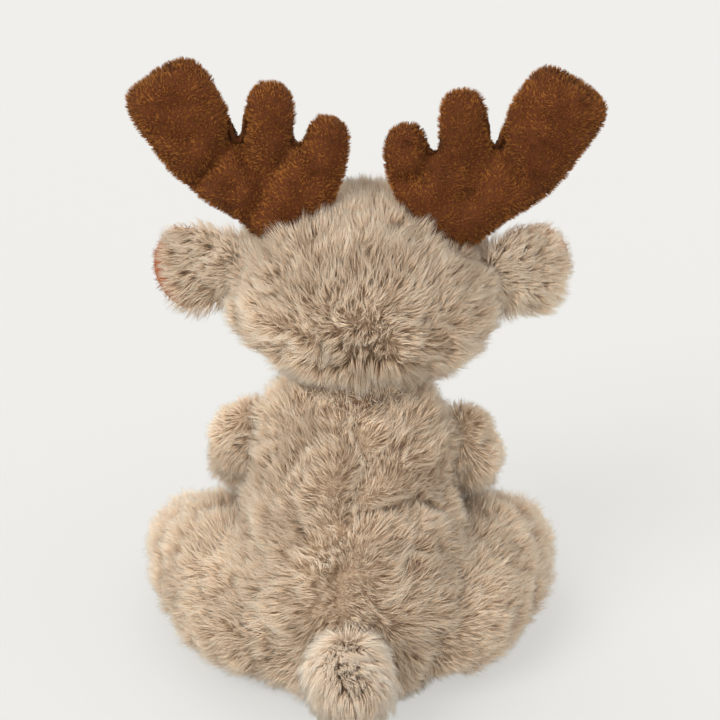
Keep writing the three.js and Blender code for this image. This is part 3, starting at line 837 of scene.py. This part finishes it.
# How deep each backing lies under the tips of its pile
LONG_DEPTH = 6.4
LEG_DEPTH = 6.0
ARM_DEPTH = 4.6
TAIL_DEPTH = 7.5
EAR_DEPTH = 4.2
SHORT_DEPTH = 2.4
VELVET_DEPTH = 1.4
LINING_DEPTH = 1.2
ANTLER_DEPTH = 1.1
STUFFING_DEPTH = 1.5

TORSO_WHORL = np.array([-6.0, 56.0, 44.0])
HEAD_WHORL = in_head(2, HEAD_BACK - 8, HEAD_LIFT - 15)
WHORL_REACH = 34


def from_whorl(whorl, front_way, front_from, front_to):
    """The nap leads away from a whorl behind, and along front_way over the front."""
    def way(places, normals):
        away = places - whorl
        away = away / np.maximum(np.linalg.norm(away, axis=1, keepdims=True), WHORL_REACH)
        share = smooth_share(-places[:, 1], front_from, front_to)[:, None]
        return away * (1 - share) + front_way(places, normals) * share
    return way


def steady(vector):
    vector = np.asarray(vector, float)
    return lambda places, normals: np.broadcast_to(vector, places.shape)


# Torso: its creases are lines on the form, each point an angle round it and a height
def torso_line(*points):
    return [torso_form.under(torso_level(height), math.radians(degrees), LONG_DEPTH)
            for degrees, height in points]


SPINE = torso_line((86, 114), (84, 110), (94, 101), (88, 86), (87, 73), (85, 62), (79, 50))
# Each crease: its line, its reach, its depth and how much painted shade its pile gets. The pile
# parts at the first two
TORSO_CREASES = [
    (SPINE, 5.5, 4.6, 0.95),
    (torso_line((90, 80), (110, 83), (136, 82), (160, 78)), 6.0, 6.6, 0.95),
    (torso_line((98, 97), (116, 95), (146, 91), (168, 84)), 5.0, 2.8, 0.2),
    (torso_line((152, 80), (166, 76)), 4.5, 4.5, 0.7),
    (torso_line((8, 66), (20, 62), (34, 60)), 5.0, 4.0, 0.6),
]
PARTED_CREASES = 2
PARTING_STRENGTH = 2.4
RELIEF_DEPTH = 1.3
RELIEF_SIZE = 17


def uneven(seed):
    """The soft unevenness of a stuffed cloth."""
    return lambda places, normals: (
        places + normals * (RELIEF_DEPTH * wander(places, RELIEF_SIZE, seed))[:, None])


def above_floor(lift):
    """Keeps the cloth this far off the floor."""
    return lambda places, normals: np.maximum(places, (-np.inf, -np.inf, lift))


SEAT_SPREAD_SHARE = 0.2
SEAT_SPREAD_HEIGHT = 30
BACKING_LIFT = 1.2


def torso_shape(places, normals):
    """Creased, and spread a little where it sits."""
    moved = uneven(seed=3)(places, normals)
    for line, reach, depth, _ in TORSO_CREASES:
        pressed = places - normals * (depth * along_line(places, line, reach))[:, None]
        moved += pressed - places
    sat = smooth_share(SEAT_SPREAD_HEIGHT - moved[:, 2:3], 0, SEAT_SPREAD_HEIGHT)
    spread = 1 + SEAT_SPREAD_SHARE * sat
    moved *= np.hstack([spread, spread, np.ones_like(spread)])
    moved[:, 2] = np.maximum(moved[:, 2], BACKING_LIFT)
    return moved


# Painted light: the torso's pile is made paler under the head, where the head's shadow falls
NECK_PAINTED_LIGHT = 0.3
NECK_PAINTED_LIGHT_HEIGHTS = (108, 120)
CREASE_SHADE_REACH = 0.45
CREASE_SHORTENING = 0.13
SHORTEST_SHARE = 0.35


def torso_shade(places, normals):
    """Painted shade: darker pile down in the creases, where light doesn't reach. Painted light:
    paler pile under the head, where the head's shadow falls.
    """
    shade = NECK_PAINTED_LIGHT * smooth_share(places[:, 2], *NECK_PAINTED_LIGHT_HEIGHTS)
    # Painted shade: the pile is darkened down in each crease, where light doesn't reach
    for line, reach, _, dark in TORSO_CREASES:
        shade -= dark * along_line(places, line, reach * CREASE_SHADE_REACH)
    return shade


def torso_length(places, normals):
    """Shorter pile down in the creases."""
    share = np.ones(len(places))
    for line, reach, depth, _ in TORSO_CREASES:
        share -= CREASE_SHORTENING * depth * along_line(places, line, reach)
    return np.clip(share, SHORTEST_SHARE, 1)


def parted_torso(way):
    """The nap leans away from the seam and the folds."""
    def parted(places, normals):
        whole = way(places, normals)
        for line, reach, _, _ in TORSO_CREASES[:PARTED_CREASES]:
            lean, distance = from_line(places, line)
            whole = whole + unit(lean) * PARTING_STRENGTH * np.exp(-distance / reach)
        return whole
    return parted


# The points around each skin and along it
BODY_GRID = (112, 80)
STUFFING_GRID = (84, 60)
LIMB_GRID = (72, 56)
MUZZLE_GRID = (72, 48)
EAR_GRID = (56, 40)
SMALL_GRID = (48, 32)
LOBE_GRID = (48, 36)
skins = {}
limb_forms = {}

for name, form, change, fill in (
    ("torso", torso_form, torso_shape, 0.8), ("head", head_form, uneven(seed=4), 0.85),
):
    bm = formed(form, LONG_DEPTH, BODY_GRID, change)
    skins[name] = covering(bm, f"{name}_backing", beige_backing, name, "fur",
                           [f"{name}_cover"])
    bm = formed(form, LONG_DEPTH + STUFFING_DEPTH, STUFFING_GRID, change)
    stuffing = finished(bm, f"{name}_stuffing", stuffing_fibre)
    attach(stuffing, name)
    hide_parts(f"{name}_filling")

for name, side in SIDES:
    for kind, form, depth in (
        ("leg", leg_form(side), LEG_DEPTH), ("arm", arm_form(side), ARM_DEPTH),
    ):
        bm = formed(form, depth, LIMB_GRID, uneven(seed=6), above_floor(BACKING_LIFT))
        limb_forms[kind, name] = form
        skins[kind, name] = covering(
            bm, f"{kind}_backing_{name}", beige_backing, f"{kind}_{name}", "fur",
            [f"{kind}_{name}", f"{kind}_filling_{name}"])

tail = covering(formed(tail_form, TAIL_DEPTH, SMALL_GRID), "tail_backing", beige_backing,
                "tail", "pale_fur", ["tail"])
muzzle = covering(formed(muzzle_form, SHORT_DEPTH, MUZZLE_GRID), "muzzle_backing", beige_backing,
                  "head", "pale_fur", ["muzzle_cover", "muzzle_filling"])
nose = covering(formed(nose_form, VELVET_DEPTH, SMALL_GRID), "nose_pad", brown_backing,
                "head", "antler_cloth", ["nose"])

# The neck is a plug that the head turns on, hidden where the two piles meet. Its darker backing is
# painted shade in that gap
bm = ball(*SMALL_GRID, NECK_RADIUS)
bmesh.ops.translate(bm, vec=NECK, verts=bm.verts)
neck = covering(bm, "neck_plug", neck_painted_shade_backing, "neck", "fur", ["neck_filling"])


def outside(*skins, margin=1.5):
    """Keeps the fibres whose roots are not buried in another skin."""
    def keep(places, normals):
        kept = np.ones(len(places), bool)
        for skin in skins:
            kept &= skin.depth_of(places) < margin
        return kept
    return keep


def evenly(value):
    return lambda places, normals: np.full(len(places), value)


def away_from(point):
    """The nap leads away from a point."""
    return lambda places, normals: unit(places - point)


SPINE_MESS = 0.35
SPINE_MESS_REACH = 9
TORSO_MESS = 0.1
NAPE_MESS = 0.9
NAPE_MESS_REACH = 16
NAPE_LINE = [
    HEAD_WHORL + HEAD_SIDEWAYS * 18 - ALONG_Z * 4,
    HEAD_WHORL - HEAD_SIDEWAYS * 22 - ALONG_Z * 2,
]
FACE_MIDDLE = in_head(0, FACE_FRONT - 30, HEAD_LIFT + 6)


def torso_mess(places):
    return TORSO_MESS + SPINE_MESS * along_line(places, SPINE, SPINE_MESS_REACH)


def nape_mess(places):
    """The locks stand up and cross each other low on the back of the head."""
    return NAPE_MESS * along_line(places, NAPE_LINE, NAPE_MESS_REACH)


def face_way(places, normals):
    return unit(places - FACE_MIDDLE) + (0, 0, -0.2)


torso_way = parted_torso(from_whorl(TORSO_WHORL, steady((0, -0.3, -1)), -10, 30))
head_way = from_whorl(HEAD_WHORL, face_way, 20, 60)
torso = skins["torso"]
head = skins["head"]
grow_pile("torso_pile", torso, LONG_NAP, torso_way, beige_pile, seed=11, count=100000,
          keep=outside(head, skins["leg", "left"], skins["leg", "right"]),
          length=torso_length, shade=torso_shade, mess=torso_mess)
grow_pile("head_pile", head, LONG_NAP, head_way, beige_pile, seed=21, count=82000,
          keep=outside(torso, muzzle), mess=nape_mess)
# The neck's pile is made paler all over: painted light where the head's shadow falls
grow_pile("neck_pile", neck, LONG_NAP, steady((0, 0.2, 1)), beige_pile, seed=25, count=10000,
          keep=outside(head, torso, margin=0), length=evenly(0.8), shade=evenly(0.3))


# Limbs
PAD_DEPTHS = {"arm": 6, "leg": 8}
PAD_MARGIN = 1.5
BY_PAD_REACH = 9
BY_PAD_SHORTENING = 0.5
ARM_TOP_LENGTH = 0.72
ARM_UNDER_LENGTH = 0.5
LEG_WHORL = TORSO_WHORL + (0, -20, -14)
# How much paler the arms' and legs' pile is made: painted light
LIMB_PAINTED_LIGHT = {"arm": 0.2, "leg": 0.13}


def pad_edge(form, depth):
    """A point on the plane where a pad of this depth ends, and the way that the limb points."""
    heading = form.heading[-1]
    return form.at(1.0, 0.0) - heading * depth, heading


def clear_of_pad(form, depth, keep):
    """Keeps the fibres that are rooted behind the pad's edge."""
    edge, heading = pad_edge(form, depth + PAD_MARGIN)
    return lambda places, normals: ((places - edge) @ heading < 0) & keep(places, normals)


def short_by_pad(form, depth):
    edge, heading = pad_edge(form, depth)
    return lambda places, normals: (
        1 - BY_PAD_SHORTENING * smooth_share((places - edge) @ heading, -BY_PAD_REACH, 0))


def arm_length(form, depth):
    """Full length under the arm, and shorter on top of it and by the pad."""
    by_pad = short_by_pad(form, depth)
    return lambda places, normals: by_pad(places, normals) * (
        ARM_TOP_LENGTH + ARM_UNDER_LENGTH * smooth_share(-normals[:, 2], 0.1, 0.9))


for name, side in SIDES:
    leg_way = from_whorl(LEG_WHORL, steady((side * 0.25, -1, -0.1)), -10, 30)
    arm_way = steady((side * 0.2, -1, -0.6))
    for kind, way, length_of, seed, count in (
        ("leg", leg_way, short_by_pad, 31, 42000), ("arm", arm_way, arm_length, 41, 18000),
    ):
        form, depth = limb_forms[kind, name], PAD_DEPTHS[kind]
        grow_pile(f"{kind}_pile_{name}", skins[kind, name], LONG_NAP, way, beige_pile, seed + side,
                  count, keep=clear_of_pad(form, depth, outside(torso)),
                  length=length_of(form, depth), shade=evenly(LIMB_PAINTED_LIGHT[kind]))


# Tail, muzzle and nose
tail_top = tail_root - ALONG_Y * 4 + ALONG_Z * 28


def tail_way(places, normals):
    """The nap leads from the top of the root over the tuft and down."""
    return unit(places - tail_top) + (0, 0.2, -0.9)


grow_pile("tail_pile", tail, TAIL_NAP, tail_way, pale_pile, seed=51, count=16000,
          keep=outside(torso, margin=5))
grow_pile("muzzle_pile", muzzle, SHORT_NAP, away_from(nose_centre), pale_pile, seed=61,
          count=15000, keep=outside(head, nose))
grow_pile("nose_pile", nose, VELVET_NAP, steady((0, 0, -1)), brown_pile, seed=71, count=2400)


# Ears
EAR_TILTS = {"left": -9, "right": 9}
EAR_LINING_DROPS = {"left": 2.2, "right": 0.5}
# The left ear's pile is made darker and the right ear's paler: painted shade and painted light
EAR_PAINTED_LIGHT_AND_SHADE = {"left": -0.1, "right": 0.14}
EAR_BACK_FACING = -0.45
LINING_BACK_FACING = 0.5
THIN_EDGE_REACH = 8
THIN_EDGE_HEIGHT = 2
THIN_EDGE_SHARE = 0.6


def ear_back(side, middle):
    """Only the back is furred, thinly along the edge where the left lining turns out."""
    rng = np.random.default_rng(7 + side)

    def keep(places, normals):
        away = places - middle
        edge = ((away[:, 0] * side - away[:, 2] > THIN_EDGE_REACH)
                & (away[:, 2] < THIN_EDGE_HEIGHT) & (side > 0))
        thinned = edge & (rng.random(len(places)) < THIN_EDGE_SHARE)
        return (normals[:, 1] > EAR_BACK_FACING) & ~thinned
    return keep


for name, side in SIDES:
    tilt = EAR_TILTS[name]
    leaf = ear_leaf(side, tilt, -1.0, 41, 13, stop=0.82)
    skin = covering(formed(leaf, EAR_DEPTH, EAR_GRID), f"ear_backing_{name}", beige_backing,
                    f"ear_{name}", "fur", [f"ear_{name}"])
    leaf_front = ear_leaf(side, tilt, 4.0, 37, 5, start=0.05, stop=0.9, drop=EAR_LINING_DROPS[name])
    lining = covering(formed(leaf_front, LINING_DEPTH, EAR_GRID), f"ear_lining_cloth_{name}",
                      rust_backing, f"ear_{name}", "rust_cloth", [f"ear_lining_{name}"])
    ear_way = away_from(ear_root(side))
    grow_pile(f"ear_pile_{name}", skin, EAR_NAP, ear_way, beige_pile, seed=81 + side, count=15000,
              keep=ear_back(side, leaf.at(0.35, 0.0)), shade=evenly(EAR_PAINTED_LIGHT_AND_SHADE[name]))
    grow_pile(f"ear_lining_pile_{name}", lining, VELVET_NAP, ear_way, rust_pile, seed=91 + side,
              count=9000, keep=lambda places, normals: normals[:, 1] < LINING_BACK_FACING)


# Antlers
VOXEL_SIZE = 1.3
ROUNDS_BEFORE_CREASES = 3
ROUNDS_AFTER_CREASES = 2
RIM_DARKNESS = 0.15
RIM_REACH = 0.1


def relax(bm, rounds):
    for _ in range(rounds):
        bmesh.ops.smooth_vert(bm, verts=bm.verts, factor=0.5,
                              use_axis_x=True, use_axis_y=True, use_axis_z=True)


def antler_skin(name, root, out, up):
    """The lobes joined and relaxed into one puffed cloth, then creased at the notches."""
    def place(x, z):
        return root + out * ANTLER_SPREAD * x + up * ANTLER_HEIGHT * z
    bm = bmesh.new()
    for line, widths, thick, puff in ANTLER_LOBES:
        form = Form([place(x, z) for x, z in line],
                    [(ANTLER_SPREAD * share, thick) for share in widths], HEAD_SIDEWAYS, puff)
        lobe = mesh_of(formed(form, ANTLER_DEPTH, LOBE_GRID), "lobe")
        bm.from_mesh(lobe)
        bpy.data.meshes.remove(lobe)
    piece = object_of(mesh_of(bm, "lobes"), "lobes", brown_backing)
    remesh = piece.modifiers.new("remesh", "REMESH")
    remesh.mode = "VOXEL"
    remesh.voxel_size = VOXEL_SIZE
    bpy.context.view_layer.update()
    whole = piece.evaluated_get(bpy.context.evaluated_depsgraph_get())
    bm = bmesh.new()
    bm.from_mesh(whole.to_mesh())
    whole.to_mesh_clear()
    bpy.data.objects.remove(piece)
    relax(bm, ROUNDS_BEFORE_CREASES)
    bm.normal_update()
    flatten = (1, 0, 1)

    def creases(places, normals):
        moved = places.copy()
        for line, reach, depth in ANTLER_CREASES[name]:
            points = [place(x, z) * flatten for x, z in line]
            pressed = depth * along_line(places * flatten, points, reach) * np.sign(normals[:, 1])
            moved -= ALONG_Y * pressed[:, None]
        return moved
    reshape(bm, creases)
    relax(bm, ROUNDS_AFTER_CREASES)
    return covering(bm, f"antler_cloth_{name}", brown_backing, f"antler_{name}", "antler_cloth",
                    [f"antler_{name}", f"antler_filling_{name}"])


def antler_seam(places, normals):
    """The pile is darker along the seam round the rim."""
    return -RIM_DARKNESS * np.exp(-(normals[:, 1] / RIM_REACH) ** 2)


for name, side in SIDES:
    root, out, up = antler_frame(side, ANTLER_TURNS[name])
    cloth = antler_skin(name, root, out, up)
    grow_pile(f"antler_pile_{name}", cloth, ANTLER_NAP, steady(up + out * 0.5), brown_pile,
              seed=101 + side, count=30500, shade=antler_seam)


# Eyes
EYE_DEGREES = 38
EYE_STATION = 0.86
EYE_RADIUS = 6
EYE_DOME_HEIGHT = 4.2
EYE_BACK_SHARE = 0.5
for name, side in SIDES:
    angle = side_angle(side, EYE_DEGREES)
    seat = head_form.at(EYE_STATION, angle)
    facing = Vector(head_form.outward(EYE_STATION, angle))
    bm = ball(*SMALL_GRID, EYE_RADIUS)
    for vert in bm.verts:
        vert.co.z *= EYE_DOME_HEIGHT / EYE_RADIUS if vert.co.z > 0 else EYE_BACK_SHARE
    turn = facing.to_track_quat("Z", "Y").to_matrix().to_4x4()
    bmesh.ops.transform(bm, matrix=Matrix.Translation(Vector(seat)) @ turn, verts=bm.verts)
    eye = finished(bm, f"eye_dome_{name}", eye_plastic)
    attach(eye, "head")
    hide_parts(f"eye_{name}")


# Pads on the paws and the soles
PAD_LIFT = 0.4
PAD_EDGE_MARGIN = 0.3
PAD_BACK_FACING = -0.5


def on_pad(edge, heading):
    """Keeps the fibres on the pad's face."""
    return lambda places, normals: (
        ((places - edge) @ heading > PAD_EDGE_MARGIN) & (normals @ heading > PAD_BACK_FACING))


for name, side in SIDES:
    for kind, cloth in (("arm", "paw_pad"), ("leg", "sole")):
        form = limb_forms[kind, name]
        edge, heading = pad_edge(form, PAD_DEPTHS[kind])
        bm = formed(form, VELVET_DEPTH, LIMB_GRID)
        bmesh.ops.bisect_plane(bm, geom=bm.verts[:] + bm.edges[:] + bm.faces[:],
                               plane_co=Vector(edge), plane_no=Vector(heading), clear_inner=True)
        bmesh.ops.holes_fill(bm, edges=[e for e in bm.edges if e.is_boundary])
        reshape(bm, above_floor(PAD_LIFT))
        pad = covering(bm, f"{cloth}_cloth_{name}", brown_backing, f"{kind}_{name}", "antler_cloth",
                       [f"{cloth}_{name}"])
        grow_pile(f"{cloth}_pile_{name}", pad, VELVET_NAP, steady((0, -0.2, 1)), brown_pile,
                  seed=111 + side, count=5000, keep=on_pad(edge, heading))


# Mouth: one stitched thread from the nose, parting to each side
THREAD_RADIUS = 0.55
THREAD_SINK = 0.4
MOUTH_TOP = 0.03
MOUTH_FORK = 0.16
MOUTH_TURN = 0.75
MOUTH_CURL = 0.05


def stitched(name, points):
    curve = bpy.data.curves.new(name, "CURVE")
    curve.dimensions = "3D"
    curve.bevel_depth = THREAD_RADIUS * MM
    curve.bevel_resolution = 2
    curve.use_fill_caps = True
    spline = curve.splines.new("POLY")
    spline.points.add(len(points) - 1)
    for point, place in zip(spline.points, points):
        point.co = (*(place * MM), 1)
    curve.materials.append(thread)
    piece = added(name, curve)
    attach(piece, "head")


def on_muzzle(turn, back):
    """A point on the muzzle's front, by its angle from the lowest line and its share back."""
    return muzzle_form.at(1 - back, -math.pi / 2 + turn, -THREAD_SINK)


stitched("mouth_stitch_middle", [on_muzzle(0, back)
                                 for back in np.linspace(MOUTH_TOP, MOUTH_FORK, 10)])
for name, side in SIDES:
    stitched(f"mouth_stitch_{name}", [on_muzzle(side * turn, MOUTH_FORK - MOUTH_CURL * turn)
                                      for turn in np.linspace(0, MOUTH_TURN, 14)])


# Inner pieces keep their CAD shape
for name, material in (("bean_bag", pellet_pouch), ("eye_washer_left", washer_plastic),
                       ("eye_washer_right", washer_plastic)):
    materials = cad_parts[name].data.materials
    materials.clear()
    materials.append(material)


# Floor, world and lamps
FLOOR_GLOW_SHARE = 0.6
FLOOR_HALF_METRES = 6


def seen_directly(tree):
    """1 where the camera, a reflection or a clear piece shows the backdrop, and else 0."""
    path = tree.nodes.new("ShaderNodeLightPath")
    shown = path.outputs["Is Camera Ray"]
    for ray in ("Is Glossy Ray", "Is Transmission Ray"):
        larger = tree.nodes.new("ShaderNodeMath")
        larger.operation = "MAXIMUM"
        tree.links.new(shown, larger.inputs[0])
        tree.links.new(path.outputs[ray], larger.inputs[1])
        shown = larger.outputs[0]
    return larger


def show_either(tree, output, *sources):
    """Mixes two shaders by a share and shows the result."""
    either = tree.nodes.new("ShaderNodeMixShader")
    for i, source in enumerate(sources):
        tree.links.new(source.outputs[0], either.inputs[i])
    tree.links.new(either.outputs[0], tree.nodes[output].inputs["Surface"])


def make_stage():
    bm = bmesh.new()
    bmesh.ops.create_grid(bm, x_segments=1, y_segments=1, size=FLOOR_HALF_METRES)
    paper, tree, shader = new_material("floor_paper", 0.9, specular=0.1)
    shader.inputs["Base Color"].default_value = linear(198, 197, 194)
    glow = tree.nodes.new("ShaderNodeEmission")
    glow.inputs["Color"].default_value = linear(241, 240, 236)
    share = tree.nodes.new("ShaderNodeMath")
    share.operation = "MULTIPLY"
    share.inputs[1].default_value = FLOOR_GLOW_SHARE
    tree.links.new(seen_directly(tree).outputs[0], share.inputs[0])
    show_either(tree, "Material Output", share, shader, glow)
    floor = object_of(mesh_of(bm, "floor"), "floor", paper)
    world = bpy.data.worlds.new("studio")
    world.use_nodes = True
    bpy.context.scene.world = world
    tree = world.node_tree
    background = tree.nodes["Background"]
    background.inputs["Color"].default_value = linear(236, 236, 238)
    background.inputs["Strength"].default_value = 0.9
    seen = tree.nodes.new("ShaderNodeBackground")
    seen.inputs["Color"].default_value = linear(240, 239, 235)
    seen.inputs["Strength"].default_value = 1.0
    show_either(tree, "World Output", seen_directly(tree), background, seen)
    for name, place, strength, spread in (
        ("key", (0.55, 0.7, 0.75), 2.1, 34),
        ("fill", (-0.8, 0.9, 0.35), 1.1, 90),
        ("front", (0.3, -1.0, 0.6), 1.2, 60),
    ):
        lamp = bpy.data.lights.new(name, "SUN")
        lamp.energy = strength
        lamp.angle = math.radians(spread)
        light = added(name, lamp)
        light.rotation_mode = "QUATERNION"
        light.rotation_quaternion = Vector(place).to_track_quat("Z", "Y")


make_stage()
bpy.context.scene.view_settings.view_transform = "Standard"
